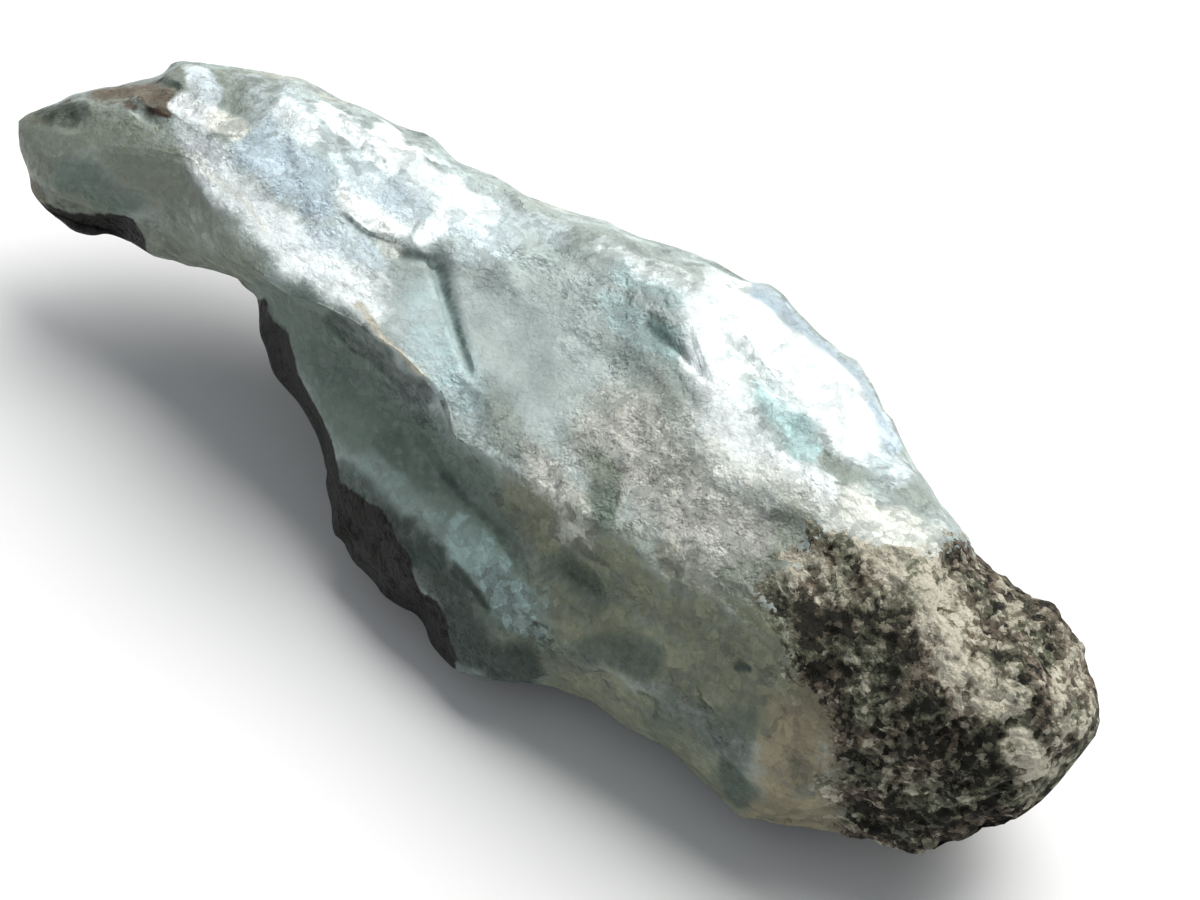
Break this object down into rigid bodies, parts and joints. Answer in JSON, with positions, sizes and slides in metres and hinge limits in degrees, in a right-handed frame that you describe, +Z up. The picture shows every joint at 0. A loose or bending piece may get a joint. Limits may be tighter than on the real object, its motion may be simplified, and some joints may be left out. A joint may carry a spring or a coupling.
{
  "type": "rough larimar stone",
  "caption": "Long rough piece of pale blue larimar with broken faces and a dark pitted basalt end, resting on a small flat spot.",
  "frame": {"origin": "middle of the small flat spot that the stone rests on", "axes": "+X along the stone's length towards its basalt end, +Z up, -Y towards the front"},
  "size_m": [0.135, 0.0454, 0.0343],
  "materials": {
    "larimar": "rough broken stone, pale blue-green with white and grey-brown, one end dark pitted basalt"
  },
  "bodies": {
    "root": {"larimar_stone": "larimar"}
  },
  "joints": []
}
